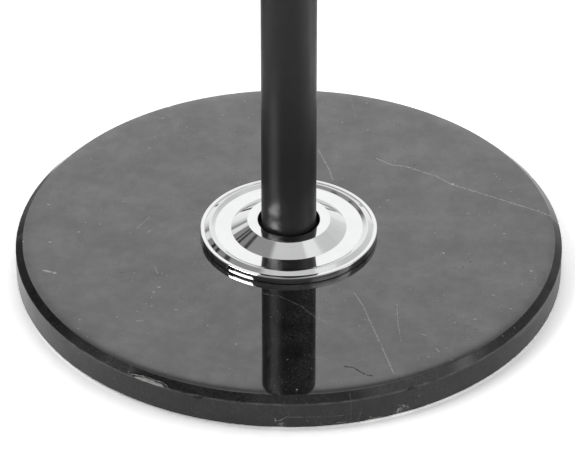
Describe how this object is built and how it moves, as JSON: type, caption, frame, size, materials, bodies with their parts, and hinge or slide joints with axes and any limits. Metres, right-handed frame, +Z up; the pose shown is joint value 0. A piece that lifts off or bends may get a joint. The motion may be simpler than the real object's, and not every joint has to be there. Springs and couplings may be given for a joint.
{
  "type": "paper towel holder",
  "caption": "Upright paper towel holder: round black marble base, stepped chrome rosette that seats the roll, and a matte black tube that turns freely on a rod under a chrome ball finial.",
  "frame": {"origin": "centre of the base, on the surface that the feet stand on", "axes": "+Z up along the post; -Y faces the viewer of the picture, +X to that viewer's right"},
  "size_m": [0.19, 0.19, 0.3396],
  "materials": {
    "black_marble": "polished, with fine pale veins and specks",
    "polished_chrome": "mirror polished",
    "black_coat": "matte fine-textured powder coat",
    "plain_steel": "drawn bright bar",
    "zinc_plate": "bright zinc plate",
    "black_rubber": "matte moulded rubber",
    "white_nylon": "natural turned nylon",
    "red_fibre": "vulcanised fibre"
  },
  "bodies": {
    "stand": {"stone_base": "black_marble", "rubber_foot_1": "black_rubber", "rubber_foot_2": "black_rubber", "rubber_foot_3": "black_rubber", "rubber_foot_4": "black_rubber", "centring_bush": "white_nylon", "fibre_washer": "red_fibre", "clamp_washer": "zinc_plate", "spring_washer": "zinc_plate", "clamp_nut": "zinc_plate", "rosette_gasket": "black_rubber", "rosette": "polished_chrome", "spindle_rod": "plain_steel", "lower_thrust_washer": "white_nylon", "upper_thrust_washer": "white_nylon", "top_cap": "polished_chrome", "finial_spring_washer": "zinc_plate", "finial": "polished_chrome"},
    "turning_tube": {"tube": "black_coat", "lower_bush": "white_nylon", "upper_bush": "white_nylon"}
  },
  "joints": [
    {"name": "tube_spin", "type": "hinge", "parent": "stand", "child": "turning_tube", "pos_m": [0, 0, 0.16], "axis": [0, 0, 1], "continuous": true}
  ]
}
